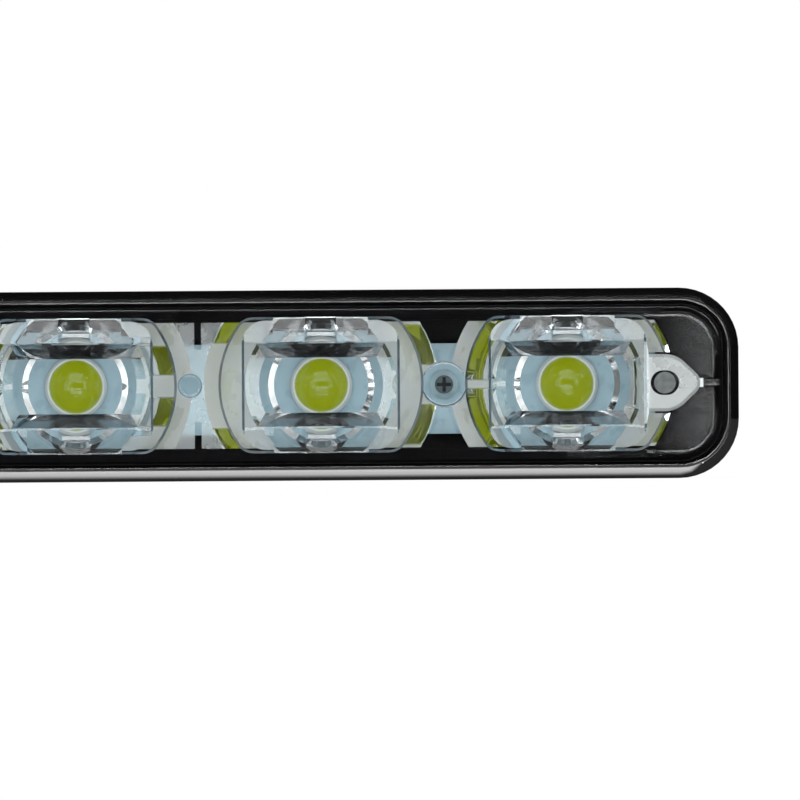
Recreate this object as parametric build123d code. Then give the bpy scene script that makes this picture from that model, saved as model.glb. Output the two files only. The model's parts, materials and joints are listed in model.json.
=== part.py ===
"""Slim LED daytime running light.

Millimetres, +Z up. X runs along the bar and the front faces -Y. The origin is the middle of the two rear
fixing holes, on the plane of their bosses. Depths are measured backwards from the front of the window.
"""
import math
import os

from build123d import *

# Outline of the lamp from the front, and its depth
lamp_length = 160.0
lamp_height = 19.4
lamp_depth = 32.0
corner_radius = 6.1

# Row of light sources, evenly spaced between the margins at the bar's ends
led_count = 6
row_margin = 17.5

# Clear front cover: a flat window and drafted sides that end in a tongue
window_thickness = 1.6
cover_wall = 1.1
cover_depth = 10.6
cover_draft = 1.1
cover_edge_radius = 0.35
tongue_width = 0.6
tongue_length = 1.2

# Seal in the groove that takes the tongue
seal_thickness = 0.6
groove_clearance = 0.1

# Optic strip: barrels at the front, a ring plate, and collimators down to the board.
# A collimator is a cone with a steeper flank next to the ring plate.
optic_gap = 0.8
ring_gap = 0.4
ring_thickness = 1.0
ring_band = 1.9
end_band = 0.5
barrel_length = 3.6
barrel_overhang = 0.5
barrel_edge = 0.25
barrel_corner = 2.0
collimator_length = 6.0
cavity_radius = 5.4
cavity_wall = 1.5
cavity_chamfer = 0.6
cone_angle = 42.0
flank_angle = 36.0
flank_length = 2.3

# Lens field: the raised, rounded front of a barrel, with a pocket in its middle
lens_rise = 0.8
lens_rim = 0.3
lens_margin = 0.35
lens_corner = 2.4
pocket_rim = 2.7
pocket_band = 2.7
pocket_depth = 2.6
pocket_slope = 1.4

# Sloped prisms on the bands above and below each pocket, less steep towards the sides
prism_steps = 2
prism_slope = 0.5
prism_slope_step = 0.09
prism_margin = 0.2

# What joins the cells: round pads over the board screws, webs with a leg between them
pad_radius = 2.4
pad_rise = 0.9
pad_edge = 0.35
web_gap = 0.7
web_height = 7.4
leg_radius = 1.25
leg_offset = 0.8
leg_rise = 0.4

# Fixing lug at each end of the strip, in a notch of the end barrel
notch_wall = 0.5
notch_height = 6.2
lug_stem = 1.7
lug_radius = 2.9
lug_thickness = 1.2
lug_tip_reach = 2.3
lug_tip_radius = 1.3
lug_slot_length = 2.9
lug_slot_width = 2.5
lug_chamfer = 0.3
gate_length = 0.3
gate_width = 0.9

# Black bezel round the optics, with a dished chamber at each end
bezel_clearance = 0.2
optic_clearance = 0.2
bezel_wall = 1.35
bezel_rim = 0.3
dish_depth = 2.4
dish_fillet = 0.9
peg_clearance = 0.15
peg_recess = 0.3
seat_inset = 0.1
dish_rib_width = 0.9
dish_rib_height = 1.2
dish_rib_edge = 0.25
pin_radius = 1.0
pin_length = 1.6
pin_clearance = 0.1
pin_inset = 2.6

# Circuit board and its screws
board_width = 9.2
board_drop = 0.4
board_thickness = 1.2
board_end_gap = 1.9
board_corner = 1.0
screw_shank_radius = 0.8
screw_length = 3.4
screw_head_radius = 1.45
screw_crown_radius = 0.95
screw_crown_height = 0.5
screw_head_height = 1.0
screw_recess_length = 1.5
screw_recess_width = 0.35
screw_recess_depth = 0.5
screw_clearance = 0.15

# LED package
led_body_radius = 3.15
led_body_height = 1.1
led_shoulder_radius = 2.9
led_shoulder_height = 0.4
phosphor_radius = 2.6
phosphor_thickness = 0.35
dome_radius = 2.75
dome_clearance = 0.55
lead_width = 2.8
lead_thickness = 0.3
lead_height = 0.75
lead_reach = 0.85
lead_clearance = 0.05

# Small parts on the board
resistor_length = 5.0
resistor_width = 2.5
resistor_height = 0.55
resistor_cap = 0.6
resistor_cap_height = 0.05
diode_length = 2.8
diode_width = 1.8
diode_height = 1.0
diode_draft = 0.15
diode_tab_width = 1.0
diode_tab_length = 0.45
diode_tab_thickness = 0.2

# Finned housing
floor_thickness = 3.0
fin_pitch = 5.0
fin_root = 2.0
fin_tip = 1.3
fin_recess = 0.6
fin_round = 2.4
fin_end_inset = 2.0
boss_spacing = 100.0
boss_radius = 4.6
fixing_hole_radius = 1.65
fixing_hole_depth = 10.0

# Cable gland and its boss
cable_radius = 2.3
gland_neck_radius = 3.3
gland_flange_radius = 4.9
gland_flange_thickness = 1.4
gland_collar_radius = 3.7
gland_collar_length = 2.2
gland_clearance = 0.1
gland_boss_radius = 5.6
gland_boss_length = 4.0
gland_access = 1.2
wire_hole_radius = 0.75
wire_spacing = 2.8

# Depths of the stack, front to back
optic_front = window_thickness + optic_gap
ring_front = optic_front + barrel_length
ring_back = ring_front + ring_thickness
lug_back = ring_front + lug_thickness
board_front = ring_back + collimator_length
board_back = board_front + board_thickness
base_back = board_back + floor_thickness
fin_back = lamp_depth - fin_recess
bezel_front = ring_front + bezel_clearance
dish_floor = bezel_front + dish_depth
led_top = board_front - led_body_height
cavity_top = led_top - dome_radius - dome_clearance
groove_bottom = cover_depth + tongue_length + seal_thickness
gland_boss_back = base_back + gland_boss_length


def cover_inset(depth):
    """How far the cover's drafted outer side stands inside the full outline at a depth."""
    return cover_draft * (1 - depth / cover_depth)


# Sizes across the cells, worked out from the row and from the space inside the bezel
led_pitch = (lamp_length - 2 * row_margin) / (led_count - 1)
ring_radius = (led_pitch - ring_gap) / 2
barrel_radius = ring_radius - ring_band
end_ring_radius = barrel_radius + end_band
collimator_base_radius = cavity_radius + cavity_wall
cone_flare = math.tan(math.radians(cone_angle))
flank_radius = collimator_base_radius + cone_flare * (collimator_length - flank_length)
collimator_rim_radius = flank_radius + math.tan(math.radians(flank_angle)) * flank_length
bezel_inset = cover_inset(bezel_front) + cover_wall + bezel_clearance
ring_height = lamp_height - 2 * (bezel_inset + bezel_wall + optic_clearance)
barrel_height = ring_height + 2 * barrel_overhang
pocket_radius = barrel_radius - pocket_rim
pocket_height = barrel_height - 2 * pocket_band
lens_width = 2 * (pocket_radius + lens_rim)
lens_height = barrel_height - 2 * lens_margin
prism_width = lens_width / (2 * prism_steps + 1)
notch_reach = pocket_radius + notch_wall
lug_reach = notch_reach + lug_stem

# Places along the bar
led_places = [(i - (led_count - 1) / 2) * led_pitch for i in range(led_count)]
last_led = led_places[-1]
junctions = [x + led_pitch / 2 for x in led_places[:-1]]
pad_places = junctions[0::2]
web_places = junctions[1::2]
lug_place = last_led + lug_reach
boss_places = [-boss_spacing / 2, boss_spacing / 2]
web_edge = (led_pitch - web_gap) / 2


def free_stretch_middle(inner_edge, height):
    """Distance from a joint of the strip to the middle of the free board beside it.

    The stretch runs from the edge of what stands at the joint to the collimator's side at a height.
    """
    outer_edge = led_pitch / 2 - collimator_base_radius - cone_flare * height
    return (inner_edge + outer_edge) / 2


resistor_1_place = pad_places[0] - free_stretch_middle(screw_head_radius, resistor_height)
resistor_2_place = web_places[0] + free_stretch_middle(leg_radius - leg_offset, resistor_height)
diode_place = pad_places[1] - free_stretch_middle(screw_head_radius, diode_height)
cable_place = web_places[0] - free_stretch_middle(leg_radius + leg_offset, 0.0)


def plane_at(depth):
    """Plane across the lamp at a depth, with X along the bar and Y up."""
    return Plane(origin=(0, depth - lamp_depth, 0), x_dir=(1, 0, 0), z_dir=(0, -1, 0))


def block(outline, front, back):
    """Solid with one flat outline from one depth to another."""
    return extrude(plane_at(back) * outline, amount=back - front)


def turned(profile, x=0.0, z=0.0):
    """Solid turned about a front-to-back axis from a closed profile of (radius, depth) points."""
    points = [(radius, depth - lamp_depth) for radius, depth in profile]
    return Pos(x, 0, z) * revolve(make_face(Polyline(*points, close=True)), axis=Axis.Y)


def lamp_outline(inset):
    """The lamp's rounded front outline, brought in by an equal margin all round."""
    return RectangleRounded(lamp_length - 2 * inset, lamp_height - 2 * inset, corner_radius - inset)


def flat_disc(radius, height):
    """Disc with its top and bottom cut off level."""
    return Circle(radius) & Rectangle(2 * radius, height)


def both_ends(part):
    """A part and its mirror image at the other end of the bar."""
    return part + mirror(part, about=Plane.YZ)


def row_opening(clearance):
    """Long opening that takes the optic strip: straight sides, and arcs round the end LEDs."""
    height = ring_height + 2 * clearance
    opening = Rectangle(2 * last_led, height)
    for x in (-last_led, last_led):
        opening += Pos(x, 0) * flat_disc(end_ring_radius + clearance, height)
    return opening


def front_cover():
    front = plane_at(0) * lamp_outline(cover_inset(0))
    rear = plane_at(cover_depth) * lamp_outline(0)
    outer = loft([front, rear], ruled=True)
    outer = fillet(outer.faces().sort_by(Axis.Y)[0].edges(), cover_edge_radius)
    inner_front = plane_at(window_thickness) * lamp_outline(cover_inset(window_thickness) + cover_wall)
    inner_rear = plane_at(cover_depth) * lamp_outline(cover_wall)
    cover = outer - loft([inner_front, inner_rear], ruled=True)
    tongue = lamp_outline(cover_wall - tongue_width) - lamp_outline(cover_wall)
    return cover + block(tongue, cover_depth, cover_depth + tongue_length)


def groove_outline():
    """Ring of the groove, wider than the cover's tongue on both sides."""
    outside = lamp_outline(cover_wall - tongue_width - groove_clearance)
    return outside - lamp_outline(cover_wall + groove_clearance)


def cover_seal():
    return block(groove_outline(), groove_bottom - seal_thickness, groove_bottom)


def pocket_cut():
    """Front pocket of a cell: a flat floor, level sloped walls and bowed ends."""
    mouth = plane_at(optic_front) * flat_disc(pocket_radius, pocket_height)
    floor_outline = flat_disc(pocket_radius - pocket_slope, pocket_height - 2 * pocket_slope)
    return loft([mouth, plane_at(optic_front + pocket_depth) * floor_outline], ruled=True)


def prism_cuts():
    """Wedges that leave a row of sloped prisms on the bands above and below a pocket."""
    cuts = Part()
    low = pocket_height / 2 + prism_margin
    high = barrel_height / 2
    front = optic_front - lamp_depth
    for step in range(-prism_steps, prism_steps + 1):
        slope = prism_slope - abs(step) * prism_slope_step
        corners = [(front, low), (front, high), (front + slope * (high - low), high)]
        section = Plane.YZ * make_face(Polyline(*corners, close=True))
        wedge = Pos(step * prism_width, 0, 0) * extrude(section, prism_width / 2, both=True)
        cuts += [wedge, mirror(wedge, about=Plane.XY)]
    return cuts


def collimator():
    """Ring plate, and the flank and cone below it, cut off level at the top and bottom."""
    cone = turned([
        (0, ring_front),
        (ring_radius, ring_front),
        (ring_radius, ring_back),
        (collimator_rim_radius, ring_back),
        (flank_radius, ring_back + flank_length),
        (collimator_base_radius, board_front),
        (0, board_front),
    ])
    return cone & block(Rectangle(2 * ring_radius, ring_height), ring_front, board_front)


def trim_side(body, side, kind):
    """Finish one side of a cell: round towards a pad, square towards a web, smaller at the bar's end."""
    reach = side * ring_radius
    half = Pos(reach / 2, 0) * Rectangle(ring_radius, 2 * ring_radius)
    if kind == "web":
        plate = Pos(side * web_edge / 2, 0) * Rectangle(web_edge, ring_height)
        body = body + block(plate, ring_front, ring_back)
        past_edge = Pos(side * (web_edge + ring_radius / 2), 0) * Rectangle(ring_radius, 2 * ring_radius)
        return body - block(past_edge, ring_front, board_front)
    if kind == "end":
        return body - block(half - Circle(end_ring_radius), ring_front, board_front)
    return body


def lug_outline():
    """Teardrop lug from the notch's face to its tip: two circles joined by their outer tangents."""
    stem = Pos((notch_reach + lug_reach) / 2, 0) * Rectangle(lug_reach - notch_reach, 2 * lug_radius)
    eye = Pos(lug_reach, 0) * Circle(lug_radius)
    tip = Pos(lug_reach + lug_tip_reach, 0) * Circle(lug_tip_radius)
    along = (lug_radius - lug_tip_radius) / lug_tip_reach
    across = math.sqrt(1 - along**2)
    upper = [
        (lug_reach + along * lug_radius, across * lug_radius),
        (lug_reach + lug_tip_reach + along * lug_tip_radius, across * lug_tip_radius),
    ]
    lower = [(x, -y) for x, y in reversed(upper)]
    past_notch = Pos(notch_reach + lamp_height / 2, 0) * Rectangle(lamp_height, lamp_height)
    return (stem + eye + tip + make_face(Polyline(*upper, *lower, close=True))) & past_notch


def lug():
    """Slotted lug with its outer front edges broken, and the gate mark at its tip."""
    plate = block(lug_outline(), ring_front, lug_back)
    rim = plate.faces().sort_by(Axis.Y)[0].edges().sort_by(Axis.X)[1:]
    plate = chamfer(rim, lug_chamfer)
    gate_place = lug_reach + lug_tip_reach + lug_tip_radius
    gate = Pos(gate_place, 0) * Rectangle(2 * gate_length, gate_width)
    plate += block(gate, ring_front + lug_chamfer, lug_back)
    slot = Pos(lug_reach, 0) * SlotOverall(lug_slot_length, lug_slot_width)
    return plate - block(slot, ring_front, lug_back)


def add_lug(body, side):
    """Notch the end cell's outer side and put the lug in the notch."""
    length = ring_radius - notch_reach
    notch = Pos(notch_reach + length / 2, 0) * Rectangle(length, notch_height)
    cut = block(notch, optic_front, board_front)
    tab = lug()
    if side < 0:
        cut = mirror(cut, about=Plane.YZ)
        tab = mirror(tab, about=Plane.YZ)
    return body - cut + tab


def cavity_cut():
    """Chamfered well that takes an LED, open towards the board."""
    return turned([
        (0, cavity_top),
        (cavity_radius - cavity_chamfer, cavity_top),
        (cavity_radius, cavity_top + cavity_chamfer),
        (cavity_radius, board_front),
        (0, board_front),
    ])


def optic_cell(left, right):
    """One cell of the strip, about its own LED."""
    shoulder = optic_front + lens_rise
    barrel_outline = flat_disc(barrel_radius, barrel_height)
    barrel_outline = fillet(barrel_outline.vertices(), barrel_corner)
    barrel = block(barrel_outline, shoulder, ring_front)
    barrel = chamfer(barrel.faces().sort_by(Axis.Y)[0].edges(), barrel_edge)
    field = block(RectangleRounded(lens_width, lens_height, lens_corner), optic_front, shoulder)
    field = chamfer(field.faces().sort_by(Axis.Y)[0].edges(), barrel_edge)
    cell = barrel + field - pocket_cut() - prism_cuts() + collimator()
    cell = trim_side(trim_side(cell, -1, left), 1, right)
    cell = cell - cavity_cut()
    for side, kind in ((-1, left), (1, right)):
        if kind == "end":
            cell = add_lug(cell, side)
    return cell


def joint_pad(x, radius, rise):
    """Round pad with a rounded edge, proud of the ring plate."""
    pad = block(Pos(x, 0) * Circle(radius), ring_front - rise, ring_back)
    return fillet(pad.faces().sort_by(Axis.Y)[0].edges(), pad_edge)


def optic_strip():
    kinds = ["end"] + ["pad" if x in pad_places else "web" for x in junctions] + ["end"]
    strip = Part()
    for i, x in enumerate(led_places):
        strip += Pos(x, 0, 0) * optic_cell(kinds[i], kinds[i + 1])
    for x in pad_places:
        well = block(Pos(x, 0) * Circle(pad_radius), ring_back, board_front)
        strip = strip - well + joint_pad(x, pad_radius, pad_rise)
    for x in web_places:
        strip += block(Pos(x, 0) * Rectangle(2 * web_gap, web_height), ring_front, ring_back)
        strip += block(Pos(x - leg_offset, 0) * Circle(leg_radius), ring_front, board_front)
        strip += joint_pad(x - leg_offset, leg_radius, leg_rise)
    return strip


def inner_bezel():
    frame = block(lamp_outline(bezel_inset), bezel_front, cover_depth)
    dish = block(lamp_outline(bezel_inset + bezel_rim), bezel_front, dish_floor)
    dish = fillet(dish.faces().sort_by(Axis.Y)[-1].edges(), dish_fillet)
    middle = block(Rectangle(2 * last_led, lamp_height), bezel_front, dish_floor)
    frame = frame - (dish - middle)
    frame = frame - block(row_opening(optic_clearance), bezel_front, cover_depth)
    return frame + both_ends(lug_seat() + dish_rib()) + both_ends(bezel_pins())


def lug_seat():
    """Shelf under the lug, with the peg that stands in the lug's slot."""
    shelf_outline = Pos(last_led, 0) * offset(lug_outline(), -seat_inset)
    shelf = block(shelf_outline, lug_back, dish_floor)
    peg_radius = lug_slot_width / 2 - peg_clearance
    peg = block(Pos(lug_place, 0) * Circle(peg_radius), ring_front + peg_recess, lug_back)
    return shelf + peg


def dish_rib():
    """Rib on the dish's floor, from under the lug's tip into the end wall."""
    start = lug_place + lug_tip_reach
    end = lamp_length / 2 - bezel_inset - bezel_rim / 2
    outline = Pos((start + end) / 2, 0) * Rectangle(end - start, dish_rib_width)
    rib = block(outline, dish_floor - dish_rib_height, dish_floor)
    return fillet(rib.faces().sort_by(Axis.Y)[0].edges().filter_by(Axis.X), dish_rib_edge)


def pin_place():
    return lamp_length / 2 - bezel_inset - pin_inset


def bezel_pins():
    """Locating pin behind the end of the bezel."""
    return block(Pos(pin_place(), 0) * Circle(pin_radius), cover_depth, cover_depth + pin_length)


def board_outline():
    half_length = last_led + end_ring_radius - board_end_gap
    return Pos(0, -board_drop) * RectangleRounded(2 * half_length, board_width, board_corner)


def circuit_board():
    outline = board_outline()
    for x in pad_places:
        outline -= Pos(x, 0) * Circle(screw_shank_radius + screw_clearance)
    for z in (-wire_spacing / 2, wire_spacing / 2):
        outline -= Pos(cable_place, z) * Circle(wire_hole_radius)
    return block(outline, board_front, board_back)


def board_screw(x):
    """Pan-head screw through the board into the housing floor."""
    screw = turned([
        (0, board_front - screw_head_height),
        (screw_crown_radius, board_front - screw_head_height),
        (screw_head_radius, board_front - screw_head_height + screw_crown_height),
        (screw_head_radius, board_front),
        (screw_shank_radius, board_front),
        (screw_shank_radius, board_front + screw_length),
        (0, board_front + screw_length),
    ])
    top = board_front - screw_head_height
    bar = Rectangle(screw_recess_length, screw_recess_width)
    cross = bar + Rot(0, 0, 90) * bar
    return Pos(x, 0, 0) * (screw - block(cross, top, top + screw_recess_depth))


def led_body(x):
    """White ring package with a shallow cup for the phosphor."""
    return turned([
        (0, led_top + phosphor_thickness),
        (phosphor_radius, led_top + phosphor_thickness),
        (phosphor_radius, led_top),
        (led_shoulder_radius, led_top),
        (led_body_radius, led_top + led_shoulder_height),
        (led_body_radius, board_front),
        (0, board_front),
    ], x)


def led_phosphor(x):
    return block(Pos(x, 0) * Circle(phosphor_radius), led_top, led_top + phosphor_thickness)


def led_dome(x):
    """Clear half ball that stands on the package."""
    ball = Pos(x, led_top - lamp_depth, 0) * Sphere(dome_radius)
    return ball & block(Pos(x, 0) * Circle(2 * dome_radius), led_top - dome_radius, led_top)


def led_leads(x):
    """Pair of bent leads, above and below the package, with their feet on the board."""
    inner = led_body_radius + lead_clearance
    outer = inner + lead_reach
    bend = (inner + outer) / 2
    high = board_front - lead_height
    section = [
        (high, inner),
        (high, bend),
        (board_front - lead_thickness, bend),
        (board_front - lead_thickness, outer),
        (board_front, outer),
        (board_front, bend - lead_thickness),
        (high + lead_thickness, bend - lead_thickness),
        (high + lead_thickness, inner),
    ]
    points = [(depth - lamp_depth, z) for depth, z in section]
    face = Plane.YZ * make_face(Polyline(*points, close=True))
    lead = Pos(x, 0, 0) * extrude(face, lead_width / 2, both=True)
    return lead + mirror(lead, about=Plane.XY)


def string_resistor(x):
    """Flat chip resistor across the board, with a metal cap round each end."""
    top = board_front - resistor_height
    body = block(Pos(x, 0) * Rectangle(resistor_width, resistor_length), top, board_front)
    for side in (-1, 1):
        z = side * (resistor_length - resistor_cap) / 2
        cap = Pos(x, z) * Rectangle(resistor_width, resistor_cap)
        body += block(cap, top - resistor_cap_height, board_front)
    return body


def polarity_diode(x):
    """Moulded diode body with drafted sides, and a tab at each end."""
    top = plane_at(board_front - diode_height)
    top_outline = Rectangle(diode_width - 2 * diode_draft, diode_length - 2 * diode_draft)
    foot_outline = Rectangle(diode_width, diode_length)
    body = loft([top * top_outline, plane_at(board_front) * foot_outline], ruled=True)
    tabs = Rectangle(diode_tab_width, diode_length + 2 * diode_tab_length)
    return Pos(x, 0, 0) * (body + block(tabs, board_front - diode_tab_thickness, board_front))


def cable_gland():
    """Rubber grommet with a flange on the boss and a short collar."""
    flange_back = gland_boss_back + gland_flange_thickness
    neck = gland_neck_radius - gland_clearance
    return turned([
        (cable_radius, board_back),
        (neck, board_back),
        (neck, gland_boss_back),
        (gland_flange_radius, gland_boss_back),
        (gland_flange_radius, flange_back),
        (gland_collar_radius, flange_back),
        (gland_neck_radius, flange_back + gland_collar_length),
        (cable_radius, flange_back + gland_collar_length),
    ], cable_place)


def fins():
    """Row of drafted cooling fins, trimmed to the lamp's outline and rounded at the tips."""
    root = base_back - lamp_depth
    tip = fin_back - lamp_depth
    corners = [(-fin_root / 2, root), (fin_root / 2, root), (fin_tip / 2, tip), (-fin_tip / 2, tip)]
    section = make_face(Polyline(*corners, close=True))
    count = int((lamp_length / 2 - fin_end_inset - fin_root / 2) // fin_pitch)
    row = [Pos(i * fin_pitch, 0) * section for i in range(-count, count + 1)]
    comb = extrude(Sketch() + row, lamp_height / 2, both=True)
    envelope = block(lamp_outline(0), base_back, fin_back)
    envelope = fillet(envelope.faces().sort_by(Axis.Y)[-1].edges(), fin_round)
    return comb & envelope


def heat_sink_housing():
    housing = block(lamp_outline(0), cover_depth, base_back) + fins()
    access = Pos(cable_place, 0) * Circle(gland_flange_radius + gland_access)
    housing -= block(access, gland_boss_back, lamp_depth)
    housing += block(Pos(cable_place, 0) * Circle(gland_boss_radius), base_back, gland_boss_back)
    for x in boss_places:
        housing += block(Pos(x, 0) * Circle(boss_radius), base_back, lamp_depth)
    for x in boss_places:
        hole = Pos(x, 0) * Circle(fixing_hole_radius)
        housing -= block(hole, lamp_depth - fixing_hole_depth, lamp_depth)
    housing -= block(row_opening(optic_clearance), cover_depth, board_back)
    housing -= block(groove_outline(), cover_depth, groove_bottom)
    housing -= block(Pos(cable_place, 0) * Circle(gland_neck_radius), board_back, gland_boss_back)
    for x in pad_places:
        tapped = Pos(x, 0) * Circle(screw_shank_radius)
        housing -= block(tapped, board_back, board_front + screw_length)
    for x in (-pin_place(), pin_place()):
        socket = Pos(x, 0) * Circle(pin_radius + pin_clearance)
        housing -= block(socket, cover_depth, cover_depth + pin_length)
    return housing


nodes = {
    "heat_sink_housing": heat_sink_housing(),
    "front_cover": front_cover(),
    "cover_seal": cover_seal(),
    "inner_bezel": inner_bezel(),
    "optic_strip": optic_strip(),
    "circuit_board": circuit_board(),
    "board_screws": Part() + [board_screw(x) for x in pad_places],
    "string_resistor_1": string_resistor(resistor_1_place),
    "string_resistor_2": string_resistor(resistor_2_place),
    "polarity_diode": polarity_diode(diode_place),
    "cable_gland": cable_gland(),
}
for number, place in enumerate(led_places, start=1):
    nodes[f"led_body_{number}"] = led_body(place)
    nodes[f"led_phosphor_{number}"] = led_phosphor(place)
    nodes[f"led_dome_{number}"] = led_dome(place)
    nodes[f"led_leads_{number}"] = led_leads(place)

os.makedirs("parts", exist_ok=True)
for name, solid in nodes.items():
    export_step(solid, f"parts/{name}.step")
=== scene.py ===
"""Looks of a slim LED daytime running light, laid out as an add-on and run as a script.

Lengths are metres. X runs along the bar, the front faces -Y and Z is up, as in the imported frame.
"""
import json
import math

import bpy
import numpy as np
from mathutils import Matrix, Vector

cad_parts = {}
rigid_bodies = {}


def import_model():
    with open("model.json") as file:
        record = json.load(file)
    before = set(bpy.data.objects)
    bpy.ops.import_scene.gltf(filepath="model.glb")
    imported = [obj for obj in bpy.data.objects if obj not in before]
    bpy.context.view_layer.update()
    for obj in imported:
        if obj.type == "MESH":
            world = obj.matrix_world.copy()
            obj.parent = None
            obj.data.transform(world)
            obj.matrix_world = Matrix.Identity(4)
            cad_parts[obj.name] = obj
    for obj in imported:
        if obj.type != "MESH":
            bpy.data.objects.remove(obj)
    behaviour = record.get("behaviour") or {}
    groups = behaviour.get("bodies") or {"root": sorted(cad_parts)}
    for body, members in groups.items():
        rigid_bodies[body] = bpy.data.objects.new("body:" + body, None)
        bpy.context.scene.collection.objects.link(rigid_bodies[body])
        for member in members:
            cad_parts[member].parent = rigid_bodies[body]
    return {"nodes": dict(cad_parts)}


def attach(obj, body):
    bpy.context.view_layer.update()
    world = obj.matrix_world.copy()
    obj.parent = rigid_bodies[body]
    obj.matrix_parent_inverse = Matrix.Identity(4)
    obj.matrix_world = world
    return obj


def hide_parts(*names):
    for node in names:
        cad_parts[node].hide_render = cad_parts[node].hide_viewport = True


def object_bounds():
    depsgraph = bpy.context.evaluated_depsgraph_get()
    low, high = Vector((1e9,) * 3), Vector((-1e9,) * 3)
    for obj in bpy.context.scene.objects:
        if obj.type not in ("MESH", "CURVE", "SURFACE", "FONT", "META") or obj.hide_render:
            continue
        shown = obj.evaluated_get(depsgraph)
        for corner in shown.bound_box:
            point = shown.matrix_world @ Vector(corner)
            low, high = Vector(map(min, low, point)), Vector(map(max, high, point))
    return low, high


for leftover in list(bpy.data.objects):
    bpy.data.objects.remove(leftover)
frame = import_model()
CAD_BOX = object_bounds()
MM = 0.001
BODY = "root"

bl_info = {
    "name": "LED daytime running light",
    "version": (1, 0, 0),
    "blender": (4, 5, 0),
    "location": "View3D > Sidebar > Running light",
    "description": "Builds the looks of a slim LED daytime running light around its packed frame",
    "category": "Object",
}

LED_NUMBERS = range(1, 7)

# Everything of the housing in front of this depth that faces inward lines its pan
PAN_BACK = -17.5 * MM

# Back of the optic's ring plate, and the square plates where two cells meet at a web
PLATE_BACK = -25.0 * MM
WEB_PLACE = 25.0 * MM
PLATE_REACH = 5.0 * MM

# How far the barrels' chamfered edges face back, and the pockets' walls, which run in by 1.4 mm over a
# depth of 2.6 mm
EDGE_SLOPE = -math.sqrt(0.5)
WALL_SLOPE = -1.4 / math.hypot(1.4, 2.6)

# Radii of a cell's cone, from where it clears the cavity's chamfer, and of the steeper flank outside it,
# and how far both face back
CONE_START = 6.5 * MM
FLANK_START = 10.2 * MM
LEAST_SLOPE, MOST_SLOPE = 0.5, 0.8

# Heights off the middle between which a cell's slopes stay polished: the flank on one side of a joint and
# the cone on its other side, where two cells meet at a pad and where they meet at a web
POLISHED = {
    "pad_flank": (1.9 * MM, 6.2 * MM),
    "pad_cone": (0.3 * MM, 8.0 * MM),
    "web_flank": (4.2 * MM, 8.0 * MM),
    "web_cone": (1.0 * MM, 4.2 * MM),
}
PATCH_EDGE = 0.25 * MM

# The optic's refractive index, and the roughness and transmission of its polished and etched parts
ACRYLIC_IOR = 1.49
POLISHED_ROUGHNESS, POLISHED_SHARE = 0.01, 1.0
ETCHED_ROUGHNESS, ETCHED_SHARE = 0.3, 0.65

# How far apart the board screws stand, and the reach of their cross recesses: round the axis, and in depth
SCREW_PITCH = 50.0 * MM
RECESS_REACH = 0.8 * MM
RECESS_RIM, RECESS_FLOOR = -19.99 * MM, -19.4 * MM

# Where the lugs begin along the bar, and their half height
LUG_START = 70.2 * MM
LUG_REACH = 2.95 * MM

# Top of the right peg of the bezel, which stands in a lug's slot, and a box that takes in only that face
PEG_TOP = np.array([72.4, -25.7, 0.0]) * MM
PEG_REACH = np.array([1.3, 0.05, 1.3]) * MM

# Where the dish at each end of the bezel begins, along the bar and behind the bezel's front, and the stretch
# over which its floor turns from gloss to satin
DISH_START = 62.5 * MM
DISH_FRONT = -25.6 * MM
SATIN_START, SATIN_END = DISH_START + 7.0 * MM, DISH_START + 17.0 * MM

# Front of the cover's tongue, which is bonded into the seal
BOND_FRONT = -21.45 * MM

# Soft lights in front of the lamp: place, width and height, and power in watts
SOFTBOXES = {
    "top_softbox": ((0.03, -0.52, 0.30), (0.6, 0.30), 3.0),
    "low_softbox": ((0.05, -0.55, -0.16), (0.5, 0.25), 2.6),
    "left_softbox": ((-0.42, -0.55, 0.06), (0.45, 0.45), 2.4),
    "right_softbox": ((0.52, -0.50, 0.10), (0.3, 0.45), 1.8),
}
LIGHT_AIM = (0.03, -0.02, 0.0)


def colour_property(name, description, default):
    """A colour that a user may change."""
    return bpy.props.FloatVectorProperty(
        name=name, description=description, default=default, size=3, subtype="COLOR", min=0.0, max=1.0)


def length_property(name, description, default):
    """A length that a user may change, in metres."""
    return bpy.props.FloatProperty(
        name=name, description=description, default=default, unit="LENGTH", precision=5)


def angle_property(name, description, degrees):
    """An angle that a user may change."""
    return bpy.props.FloatProperty(
        name=name, description=description, default=math.radians(degrees), subtype="ANGLE")


def factor_property(name, description, default):
    """A plain share between 0 and 1."""
    return bpy.props.FloatProperty(
        name=name, description=description, default=default, min=0.0, max=1.0, subtype="FACTOR")


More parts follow.
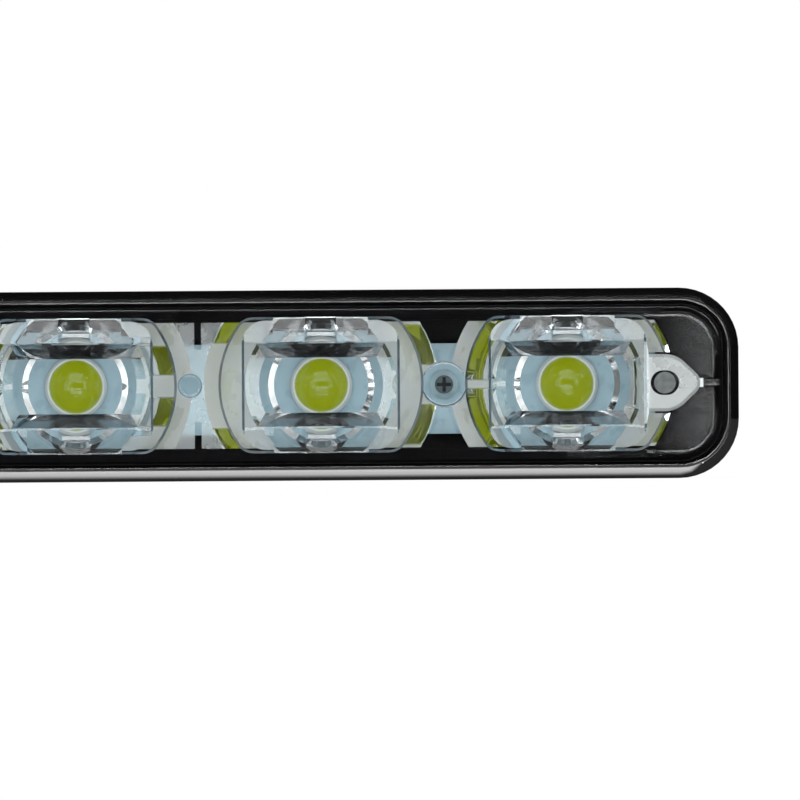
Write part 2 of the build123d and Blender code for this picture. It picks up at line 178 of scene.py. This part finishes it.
class RunningLightFinish(bpy.types.PropertyGroup):
    """Colours of the lamp's finishes."""
    casting: colour_property("Casting", "Powder coat of the finned housing", (0.022, 0.022, 0.023))
    inside: colour_property("Inside", "Matt black inside of the housing", (0.006, 0.006, 0.0065))
    bezel: colour_property("Bezel", "Glossy black moulding round the optics", (0.0015, 0.0015, 0.0018))
    peg: colour_property("Peg", "Dull top of the pegs in the lugs", (0.10, 0.11, 0.11))
    rubber: colour_property("Rubber", "Seal and gland", (0.02, 0.02, 0.021))
    cover: colour_property("Cover", "Tint of the clear cover", (0.97, 0.985, 0.99))
    optic: colour_property("Optic", "Tint of the clear optic strip", (0.965, 0.99, 0.995))
    milky: colour_property("Milky lugs", "Milky plastic of the lugs", (0.90, 0.95, 0.95))
    hazy: colour_property("Haze", "Hazy backs of the plates between cells", (0.84, 0.90, 0.90))
    etched: colour_property("Etching", "Etched parts of the cells' cones", (0.95, 0.97, 0.96))
    # Painted shade: a dark tint on the barrels' chamfered edges that draws their dark outlines
    edge: colour_property("Edges", "Chamfered edges of the barrels and lens fields", (0.10, 0.11, 0.12))
    # Painted shade: a grey tint that darkens the walls above and below the pockets' floors
    wall: colour_property("Pocket walls", "Walls above and below the pockets' floors", (0.30, 0.33, 0.35))
    board: colour_property("Board", "Pale solder mask", (0.27, 0.40, 0.46))
    chip: colour_property("Chips", "Black glaze of the small parts on the board", (0.02, 0.02, 0.022))
    screw: colour_property("Screw", "Dull plated screws", (0.30, 0.40, 0.44))
    crown: colour_property("Screw crown", "Dark flat tops of the screws", (0.09, 0.115, 0.125))
    # Painted shade: near black in the screws' cross recesses, where shade falls
    recess_shade: colour_property("Screw recess", "Cross recesses of the screws", (0.03, 0.035, 0.04))
    package: colour_property("Package", "White LED package", (0.55, 0.60, 0.60))
    phosphor: colour_property("Phosphor", "Yellow-green phosphor", (0.30, 0.36, 0.002))
    dome: colour_property("Dome", "Silicone dome of an LED", (0.97, 0.98, 0.86))
    lead: colour_property("Lead", "Dull tinned leads", (0.30, 0.31, 0.32))


class RunningLightStage(bpy.types.PropertyGroup):
    """Camera, floor and light."""
    distance: length_property("Camera distance", "From the window to the camera", 1.5)
    frame_width: length_property("Frame width", "Width that the picture spans at the window", 0.0809)
    aim_x: length_property("Aim along the bar", "X of the picture's middle", 0.0455)
    aim_z: length_property("Aim height", "Z of the picture's middle", -0.0016)
    elevation: angle_property("Elevation", "Height angle of the camera", -0.25)
    roll: angle_property("Roll", "Turn of the camera about its own axis", -0.4)
    floor: colour_property("Floor", "Pale floor", (0.90, 0.90, 0.90))
    floor_front: length_property("Floor front", "How far the floor runs out in front of the lamp", 0.08)
    fill: factor_property("Fill", "Level of the even light from all round", 0.45)


def finish():
    return bpy.context.scene.running_light_finish


def stage():
    return bpy.context.scene.running_light_stage


class Tree:
    """Short way to write a node tree. Values are numbers, colours or sockets."""

    def __init__(self, tree):
        self.tree = tree
        tree.nodes.clear()

    def add(self, kind, **settings):
        node = self.tree.nodes.new(kind)
        for key, value in settings.items():
            setattr(node, key, value)
        return node

    def put(self, value, target):
        """Sets a socket to a value, or links it to another socket."""
        if isinstance(value, bpy.types.NodeSocket):
            self.tree.links.new(value, target)
        else:
            target.default_value = value

    def fill(self, node, **sockets):
        """Puts values into a node's sockets, with underscores for spaces."""
        for key, value in sockets.items():
            self.put(value, node.inputs[key.replace("_", " ")])

    def place(self, kind="Object"):
        """Coordinates of the shaded point."""
        return self.add("ShaderNodeTexCoord").outputs[kind]

    def axis(self, name, kind="Object"):
        """One coordinate of the shaded point."""
        split = self.add("ShaderNodeSeparateXYZ")
        self.fill(split, Vector=self.place(kind))
        return split.outputs[name]

    def math(self, operation, *values):
        """Result of a math operation."""
        node = self.add("ShaderNodeMath", operation=operation)
        for value, target in zip(values, node.inputs):
            self.put(value, target)
        return node.outputs["Value"]

    def spread(self, value, low, high, start, end, interpolation="LINEAR"):
        """A value carried from one range to another and held at its ends."""
        node = self.add("ShaderNodeMapRange", interpolation_type=interpolation)
        self.fill(node, Value=value, From_Min=low, From_Max=high, To_Min=start, To_Max=end)
        return node.outputs["Result"]

    def ramp(self, value, low, high, start, end):
        """A value carried smoothly from one range to another and held at its ends."""
        return self.spread(value, low, high, start, end, "SMOOTHSTEP")

    def blend(self, factor, first, second):
        """Mix of two levels."""
        node = self.add("ShaderNodeMix")
        self.fill(node, Factor=factor, A=first, B=second)
        return node.outputs["Result"]

    def mixed(self, factor, first, second):
        """Mix of two colours."""
        node = self.add("ShaderNodeMix", data_type="RGBA")
        self.fill(node, Factor=factor, A=(*first, 1.0), B=(*second, 1.0))
        return node.outputs["Result"]

    def noise(self, size):
        """Noise with features about as large as a size in metres, around 0.5."""
        node = self.add("ShaderNodeTexNoise")
        self.fill(node, Vector=self.place(), Scale=1.0 / size, Detail=3.0, Roughness=0.5)
        return node.outputs["Fac"]

    def by_noise(self, noise, start, end):
        """A level that follows a noise from one value to another."""
        return self.spread(noise, 0.3, 0.7, start, end)

    def seen(self):
        """1 for rays from the camera, and 1 for those and rays from a mirror or through clear plastic."""
        path = self.add("ShaderNodeLightPath")
        camera = path.outputs["Is Camera Ray"]
        direct = self.math("MAXIMUM", camera, path.outputs["Is Glossy Ray"])
        return camera, self.math("MAXIMUM", direct, path.outputs["Is Transmission Ray"])


class Finish(Tree):
    """A new material with one main shader."""

    def __init__(self, name):
        self.material = bpy.data.materials.new(name)
        self.material.use_nodes = True
        super().__init__(self.material.node_tree)
        self.output = self.add("ShaderNodeOutputMaterial")
        self.shader = self.add("ShaderNodeBsdfPrincipled")
        self.fill(self.output, Surface=self.shader.outputs["BSDF"])

    def set(self, **sockets):
        """Puts values into the main shader's sockets."""
        self.fill(self.shader, **sockets)

    def bump(self, height, distance):
        """Bump from a height of 0 to 1, over a depth in metres."""
        node = self.add("ShaderNodeBump")
        self.fill(node, Height=height, Distance=distance, Strength=1.0)
        self.set(Normal=node.outputs["Normal"])


def shaded(colour, amount):
    """A colour made lighter or darker by a share."""
    return tuple(min(1.0, max(0.0, part * (1.0 + amount))) for part in colour)


def opaque(name, colour, roughness, grain, variation, bump_depth=0.0, **sockets):
    """Solid finish: two close tones and a roughness that follow one fine noise."""
    look = Finish(name)
    noise = look.noise(grain)
    share = look.by_noise(noise, 0.0, 1.0)
    tone = look.mixed(share, shaded(colour, -variation), shaded(colour, variation))
    look.set(Base_Color=tone, Roughness=look.by_noise(noise, 0.82 * roughness, 1.18 * roughness), **sockets)
    if bump_depth:
        look.bump(noise, bump_depth)
    return look.material


def clear(name, colour, refraction, roughness, grain, transmission=1.0, variation=0.01):
    """Clear moulding with a faint haze; less than full transmission makes it milky."""
    look = Finish(name)
    haze = look.noise(grain)
    tone = look.mixed(look.by_noise(haze, 0.0, 1.0), shaded(colour, -variation), colour)
    look.set(Base_Color=tone, Roughness=look.by_noise(haze, 0.5 * roughness, 1.5 * roughness))
    look.set(Transmission_Weight=transmission, IOR=refraction)
    return look.material


def satin_dish(colour):
    """Black that turns from gloss to satin towards the end of the bar."""
    look = Finish("satin_dish")
    tone = look.mixed(look.noise(2.0 * MM), shaded(colour, -0.2), shaded(colour, 0.2))
    outward = look.math("ABSOLUTE", look.axis("X"))
    look.set(Base_Color=tone, Roughness=look.ramp(outward, SATIN_START, SATIN_END, 0.09, 0.27), IOR=1.6)
    return look.material


def patched(name, polished, etched, low, high):
    """Clear moulding, polished between two heights off the bar's middle and etched elsewhere."""
    look = Finish(name)
    height = look.math("ABSOLUTE", look.axis("Z"))
    rising = look.ramp(height, low, low + PATCH_EDGE, 0.0, 1.0)
    falling = look.ramp(height, high - PATCH_EDGE, high, 1.0, 0.0)
    inside = look.math("MULTIPLY", rising, falling)
    look.set(
        Base_Color=look.mixed(inside, etched, polished),
        Roughness=look.blend(inside, ETCHED_ROUGHNESS, POLISHED_ROUGHNESS),
        Transmission_Weight=look.blend(inside, ETCHED_SHARE, POLISHED_SHARE),
        IOR=ACRYLIC_IOR,
    )
    return look.material


def node_arrays(node):
    """Merged corner points and triangles of a CAD node, as arrays."""
    mesh = frame["nodes"][node].data
    points = np.empty(len(mesh.vertices) * 3, np.float32)
    mesh.vertices.foreach_get("co", points)
    corners = np.empty(len(mesh.loops), np.int32)
    mesh.loops.foreach_get("vertex_index", corners)
    grid = 1e-7
    keys = np.round(points.reshape(-1, 3) / grid).astype(np.int64)
    unique, inverse = np.unique(keys, axis=0, return_inverse=True)
    triangles = inverse.reshape(-1)[corners].reshape(-1, 3)
    distinct = np.all(triangles != np.roll(triangles, 1, axis=1), axis=1)
    return unique * grid, triangles[distinct]


def mesh_object(name, points, faces, material):
    """A new piece from arrays of points and faces, riding on the lamp."""
    mesh = bpy.data.meshes.new(name)
    mesh.from_pydata(points.tolist(), [], faces.tolist())
    mesh.materials.append(material)
    mesh.polygons.foreach_set("use_smooth", np.ones(len(mesh.polygons), bool))
    mesh.update()
    piece = bpy.data.objects.new(name, mesh)
    bpy.context.scene.collection.objects.link(piece)
    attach(piece, BODY)
    return piece


def smooth_copy(node, material, crease_degrees):
    """Merged copy of a node that stands for it, smooth over edges flatter than the crease angle."""
    points, triangles = node_arrays(node)
    piece = mesh_object(f"{node}_smooth", points, triangles, material)
    piece.data.set_sharp_from_angle(angle=math.radians(crease_degrees))
    weigh = piece.modifiers.new("weighted normals", "WEIGHTED_NORMAL")
    weigh.keep_sharp = True
    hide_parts(node)
    return piece


def polygon_values(piece, name):
    """One vector for each of a piece's polygons, as an array."""
    values = np.empty(len(piece.data.polygons) * 3, np.float32)
    piece.data.polygons.foreach_get(name, values)
    return values.reshape(-1, 3)


def refinish(piece, *finishes):
    """Adds finishes to a piece, each a material and a mask of its polygons; the first mask that holds wins."""
    materials, masks = zip(*finishes)
    for material in materials:
        piece.data.materials.append(material)
    numbers = np.select(masks, range(1, len(masks) + 1), 0)
    piece.data.polygons.foreach_set("material_index", numbers.astype(np.int32))


def dress(node, material):
    """Gives a CAD node its finish."""
    slots = frame["nodes"][node].data.materials
    slots.clear()
    slots.append(material)


class RUNNINGLIGHT_OT_housing(bpy.types.Operator):
    """Finishes the finned housing, its gland and the seal"""
    bl_idname = "runninglight.housing"
    bl_label = "Housing"

    def execute(self, context):
        tones = finish()
        coat = opaque("powder_coat", tones.casting, roughness=0.5, grain=0.4 * MM, variation=0.25,
                      bump_depth=0.02 * MM, Specular_IOR_Level=0.3)
        matt = opaque("matt_inside", tones.inside, roughness=0.55, grain=0.4 * MM, variation=0.25,
                      bump_depth=0.02 * MM, Specular_IOR_Level=0.04)
        housing = smooth_copy("heat_sink_housing", coat, 25)
        x, y, z = polygon_values(housing, "center").T
        along, backward, upward = polygon_values(housing, "normal").T
        front = backward < -0.3
        lining = (x * along + z * upward < 0.0) & (y < PAN_BACK)
        refinish(housing, (matt, front | lining))
        rubber = opaque("rubber", tones.rubber, roughness=0.6, grain=0.6 * MM, variation=0.2,
                        bump_depth=0.01 * MM)
        smooth_copy("cable_gland", rubber, 30)
        dress("cover_seal", rubber)
        return {"FINISHED"}


class RUNNINGLIGHT_OT_bezel(bpy.types.Operator):
    """Finishes the glossy black bezel"""
    bl_idname = "runninglight.bezel"
    bl_label = "Bezel"

    def execute(self, context):
        tones = finish()
        gloss = opaque("black_gloss", tones.bezel, roughness=0.07, grain=2.0 * MM, variation=0.2,
                       bump_depth=0.004 * MM, IOR=1.55)
        dull = opaque("staked_peg", tones.peg, roughness=0.5, grain=0.6 * MM, variation=0.35,
                      bump_depth=0.03 * MM)
        bezel = smooth_copy("inner_bezel", gloss, 30)
        place = polygon_values(bezel, "center")
        place[:, 0] = np.abs(place[:, 0])
        peg = np.all(np.abs(place - PEG_TOP) < PEG_REACH, axis=1)
        dish = (place[:, 0] > DISH_START) & (place[:, 1] > DISH_FRONT)
        dish &= polygon_values(bezel, "normal")[:, 1] < -0.98
        refinish(bezel, (dull, peg), (satin_dish(tones.bezel), dish))
        return {"FINISHED"}


class RUNNINGLIGHT_OT_board(bpy.types.Operator):
    """Finishes the circuit board, its screws and its small parts"""
    bl_idname = "runninglight.board"
    bl_label = "Circuit board"

    def execute(self, context):
        tones = finish()
        mask = opaque("solder_mask", tones.board, roughness=0.3, grain=1.5 * MM, variation=0.05)
        dress("circuit_board", mask)
        glaze = opaque("chip_glaze", tones.chip, roughness=0.35, grain=0.4 * MM, variation=0.3)
        for node in ("string_resistor_1", "string_resistor_2", "polarity_diode"):
            dress(node, glaze)
        plating = opaque("screw_plate", tones.screw, roughness=0.45, grain=1.2 * MM, variation=0.08,
                         Metallic=0.25)
        crown, recess_shade = (
            opaque(name, tone, roughness=0.6, grain=0.6 * MM, variation=0.2, Specular_IOR_Level=0.1)
            for name, tone in (("screw_crown", tones.crown), ("painted_shade_recess", tones.recess_shade)))
        screws = smooth_copy("board_screws", plating, 30)
        x, y, z = polygon_values(screws, "center").T
        beside = x - SCREW_PITCH * np.round(x / SCREW_PITCH)
        # Painted shade goes on the faces inside the cross recesses
        hollow = (np.hypot(beside, z) < RECESS_REACH) & (y > RECESS_RIM) & (y < RECESS_FLOOR)
        refinish(screws, (crown, y < RECESS_RIM), (recess_shade, hollow))
        return {"FINISHED"}


class RUNNINGLIGHT_OT_leds(bpy.types.Operator):
    """Finishes the LED packages, phosphor, domes and leads"""
    bl_idname = "runninglight.leds"
    bl_label = "LEDs"

    def execute(self, context):
        tones = finish()
        package = opaque("white_package", tones.package, roughness=0.45, grain=0.5 * MM, variation=0.03)
        phosphor = opaque("phosphor_gel", tones.phosphor, roughness=0.5, grain=0.2 * MM, variation=0.06,
                          Specular_IOR_Level=0.05)
        lead = opaque("tinned_lead", tones.lead, roughness=0.5, grain=0.3 * MM, variation=0.1, Metallic=1.0)
        silicone = clear("silicone_dome", tones.dome, refraction=1.35, roughness=0.06, grain=1.0 * MM)
        for number in LED_NUMBERS:
            dress(f"led_body_{number}", package)
            dress(f"led_phosphor_{number}", phosphor)
            dress(f"led_leads_{number}", lead)
            dome = smooth_copy(f"led_dome_{number}", silicone, 40)
            dome.visible_shadow = False
        return {"FINISHED"}


class RUNNINGLIGHT_OT_optics(bpy.types.Operator):
    """Makes the polished optic strip with its milky lugs and etched backs, and painted shade on its chamfered
    edges and pocket walls
    """
    bl_idname = "runninglight.optics"
    bl_label = "Optic strip"

    def execute(self, context):
        tones = finish()
        polished = clear("polished_optic", tones.optic, ACRYLIC_IOR, POLISHED_ROUGHNESS, grain=4.0 * MM)
        strip = smooth_copy("optic_strip", polished, 20)
        grain = 3.0 * MM
        milky = clear("milky_lug", tones.milky, ACRYLIC_IOR, 0.35, grain, transmission=0.7, variation=0.1)
        hazy = clear("hazy_plate", tones.hazy, ACRYLIC_IOR, 0.25, grain, transmission=0.9, variation=0.12)
        etched = clear("etched_slope", tones.etched, ACRYLIC_IOR, ETCHED_ROUGHNESS, grain,
                       transmission=ETCHED_SHARE, variation=0.08)
        # Painted shade on the chamfered edges, for the dark outlines round the barrels
        dark = clear("painted_shade_edge", tones.edge, ACRYLIC_IOR, 0.05, grain)
        # Painted shade on the pockets' walls, which frames each pocket darker
        wall_shading = clear("painted_shade_wall", tones.wall, ACRYLIC_IOR, 0.02, grain)
        partly = [patched(name, tones.optic, tones.etched, *heights) for name, heights in POLISHED.items()]
        x, y, z = polygon_values(strip, "center").T
        backward, upward = polygon_values(strip, "normal").T[1:]
        lug = (np.abs(x) > LUG_START) & (np.abs(z) < LUG_REACH)
        plate = (np.abs(y - PLATE_BACK) < 0.01 * MM) & (backward > 0.9)
        plate &= np.abs(np.abs(x) - WEB_PLACE) < PLATE_REACH
        slope, patches = self.slopes(x, z, backward)
        edge = np.abs(backward - EDGE_SLOPE) < 0.01
        wall = (np.abs(backward - WALL_SLOPE) < 0.02) & (np.abs(upward) > 0.8)
        refinish(strip, (milky, lug), (hazy, plate), (etched, slope), *zip(partly, patches),
                 (dark, edge), (wall_shading, wall))
        strip.visible_shadow = False
        return {"FINISHED"}

    @staticmethod
    def slopes(x, z, backward):
        """Masks of the cells' slopes: those that are etched all over, and those of each patch in POLISHED."""
        domes = [node_arrays(f"led_dome_{number}")[0][:, 0] for number in LED_NUMBERS]
        leds = np.array([(dome.min() + dome.max()) / 2 for dome in domes])
        beside = x - leds[np.abs(x[:, None] - leds).argmin(axis=1)]
        radius = np.hypot(beside, z)
        sloped = (backward > LEAST_SLOPE) & (backward < MOST_SLOPE) & (radius > CONE_START)
        right = beside > 0.0
        flank = radius > FLANK_START
        web = np.abs(np.abs(x) - WEB_PLACE) < np.diff(np.sort(leds)).min() / 2
        sides = (~web & right & flank, ~web & ~right & ~flank, web & ~right & flank, web & right & ~flank)
        patches = [sloped & side for side in sides]
        return sloped & ~np.any(patches, axis=0), patches


class RUNNINGLIGHT_OT_cover(bpy.types.Operator):
    """Makes the clear front cover"""
    bl_idname = "runninglight.cover"
    bl_label = "Front cover"

    def execute(self, context):
        tones = finish()
        pane = clear("clear_polycarbonate", tones.cover, refraction=1.585, roughness=0.008, grain=6.0 * MM)
        bond = opaque("bonded_tongue", tones.bezel, roughness=0.6, grain=0.6 * MM, variation=0.2,
                      Specular_IOR_Level=0.1)
        cover = smooth_copy("front_cover", pane, 35)
        refinish(cover, (bond, polygon_values(cover, "center")[:, 1] > BOND_FRONT))
        cover.visible_shadow = False
        return {"FINISHED"}


def soft_light(name, place, size, power):
    """Rectangular soft light at a place, turned to the lamp."""
    lamp = bpy.data.lights.new(name, "AREA")
    lamp.shape = "RECTANGLE"
    lamp.size, lamp.size_y = size
    lamp.energy = power
    light = bpy.data.objects.new(name, lamp)
    light.location = place
    light.rotation_euler = (Vector(LIGHT_AIM) - Vector(place)).to_track_quat("-Z", "Y").to_euler()
    bpy.context.scene.collection.objects.link(light)


def studio_world():
    """White backdrop to the camera, and to mirrors and clear plastic up to the height of its upper edge.

    Above that edge and straight in front of the lamp the room is dark, with pale panels further aside.
    Rays that only carry light see an even fill.
    """
    world = bpy.data.worlds.new("studio")
    bpy.context.scene.world = world
    world.use_nodes = True
    tree = Tree(world.node_tree)
    camera, direct = tree.seen()
    dark, pale, white = 0.004, 0.6, 1.0
    aside = tree.math("ABSOLUTE", tree.axis("X", "Generated"))
    ahead = tree.axis("Y", "Generated")
    below_edge = tree.ramp(tree.axis("Z", "Generated"), 0.05, 0.14, white, dark)
    backdrop = tree.blend(tree.ramp(aside, 0.03, 0.1, 0.0, 1.0), below_edge, dark)
    panels = tree.ramp(ahead, -0.92, -0.75, dark, pale)
    mirrored = tree.blend(tree.ramp(ahead, -0.1, 0.3, 0.0, 1.0), panels, backdrop)
    level = tree.blend(camera, tree.blend(direct, stage().fill, mirrored), white)
    background = tree.add("ShaderNodeBackground")
    tree.fill(background, Color=(1.0, 1.0, 1.0, 1.0), Strength=level)
    tree.fill(tree.add("ShaderNodeOutputWorld"), Surface=background.outputs["Background"])


def studio_floor():
    """Pale floor under the lamp: it takes a shadow there, and turns to the backdrop's white further off.

    Mirrors and clear plastic see it glow white up to the front of the lamp, and behind that a painted shadow,
    where the glow falls almost to black.
    Further in front they see past it, to the low softbox.
    """
    _, lamp_front, ground = CAD_BOX[0]
    size = 3.0
    front = lamp_front - stage().floor_front
    mesh = bpy.data.meshes.new("floor")
    corners = [(-size, front, ground), (size, front, ground), (size, size, ground), (-size, size, ground)]
    mesh.from_pydata(corners, [], [(0, 1, 2, 3)])
    floor = bpy.data.objects.new("floor", mesh)
    bpy.context.scene.collection.objects.link(floor)
    look = Finish("pale_floor")
    look.set(Base_Color=(*stage().floor, 1.0), Roughness=0.9)
    camera, direct = look.seen()
    depth = look.axis("Y")
    squeeze = look.add("ShaderNodeMapping")
    look.fill(squeeze, Vector=look.place(), Scale=(0.5, 1.0, 0.0))
    reach = look.add("ShaderNodeVectorMath", operation="LENGTH")
    look.put(squeeze.outputs["Vector"], reach.inputs[0])
    faded = look.ramp(reach.outputs["Value"], 25.0 * MM, 45.0 * MM, 0.55, 1.0)
    # Painted shadow: the glow that mirrors and clear plastic see falls from 0.85 to 0.03 under the lamp
    mirrored = look.ramp(depth, lamp_front + 7.0 * MM, lamp_front + 9.5 * MM, 0.85, 0.03)
    glow = look.add("ShaderNodeEmission")
    look.fill(glow, Strength=look.blend(camera, mirrored, 1.0))
    lit = look.add("ShaderNodeMixShader")
    look.put(look.blend(camera, direct, faded), lit.inputs["Fac"])
    look.put(look.shader.outputs["BSDF"], lit.inputs[1])
    look.put(glow.outputs["Emission"], lit.inputs[2])
    in_front = look.ramp(depth, lamp_front - 6.0 * MM, lamp_front - 2.0 * MM, 1.0, 0.0)
    opened = look.add("ShaderNodeMixShader")
    look.put(look.math("MULTIPLY", in_front, look.blend(camera, direct, 0.0)), opened.inputs["Fac"])
    look.put(lit.outputs["Shader"], opened.inputs[1])
    look.put(look.add("ShaderNodeBsdfTransparent").outputs["BSDF"], opened.inputs[2])
    look.fill(look.output, Surface=opened.outputs["Shader"])
    mesh.materials.append(look.material)
    floor.visible_shadow = False


def studio_camera():
    """Camera straight in front of the window, with a slight roll."""
    settings = stage()
    lamp_front = CAD_BOX[0][1]
    aim = Vector((settings.aim_x, lamp_front, settings.aim_z))
    away = Vector((0.0, -math.cos(settings.elevation), math.sin(settings.elevation)))
    data = bpy.data.cameras.new("camera")
    data.lens = data.sensor_width * settings.distance / settings.frame_width
    data.clip_start = 0.01
    camera = bpy.data.objects.new("camera", data)
    turn = (-away).to_track_quat("-Z", "Y").to_matrix() @ Matrix.Rotation(settings.roll, 3, "Z")
    camera.matrix_world = Matrix.Translation(aim + away * settings.distance) @ turn.to_4x4()
    bpy.context.scene.collection.objects.link(camera)
    bpy.context.scene.camera = camera


class RUNNINGLIGHT_OT_stage(bpy.types.Operator):
    """Sets up the floor, the soft light and the camera"""
    bl_idname = "runninglight.stage"
    bl_label = "Stage"

    def execute(self, context):
        scene = context.scene
        scene.view_settings.view_transform = "Standard"
        scene.cycles.max_bounces = 24
        scene.cycles.transmission_bounces = 24
        scene.cycles.glossy_bounces = 12
        scene.cycles.transparent_max_bounces = 16
        scene.cycles.caustics_reflective = False
        scene.cycles.caustics_refractive = False
        studio_world()
        studio_floor()
        studio_camera()
        for name, (place, size, power) in SOFTBOXES.items():
            soft_light(name, place, size, power)
        return {"FINISHED"}


class RUNNINGLIGHT_PT_panel(bpy.types.Panel):
    """Lists the lamp's pieces and their settings"""
    bl_label = "Running light"
    bl_idname = "RUNNINGLIGHT_PT_panel"
    bl_space_type = "VIEW_3D"
    bl_region_type = "UI"
    bl_category = "Running light"

    def draw(self, context):
        for operator in OPERATORS:
            self.layout.operator(operator.bl_idname)
        for group in (finish(), stage()):
            column = self.layout.column()
            for name in group.__annotations__:
                column.prop(group, name)


OPERATORS = (
    RUNNINGLIGHT_OT_housing,
    RUNNINGLIGHT_OT_bezel,
    RUNNINGLIGHT_OT_board,
    RUNNINGLIGHT_OT_leds,
    RUNNINGLIGHT_OT_optics,
    RUNNINGLIGHT_OT_cover,
    RUNNINGLIGHT_OT_stage,
)
CLASSES = (RunningLightFinish, RunningLightStage, *OPERATORS, RUNNINGLIGHT_PT_panel)


def register():
    for item in CLASSES:
        bpy.utils.register_class(item)
    bpy.types.Scene.running_light_finish = bpy.props.PointerProperty(type=RunningLightFinish)
    bpy.types.Scene.running_light_stage = bpy.props.PointerProperty(type=RunningLightStage)


def unregister():
    del bpy.types.Scene.running_light_stage
    del bpy.types.Scene.running_light_finish
    for item in reversed(CLASSES):
        bpy.utils.unregister_class(item)


def main():
    register()
    for operator in OPERATORS:
        group, name = operator.bl_idname.split(".")
        getattr(getattr(bpy.ops, group), name)()


if __name__ == "__main__":
    main()
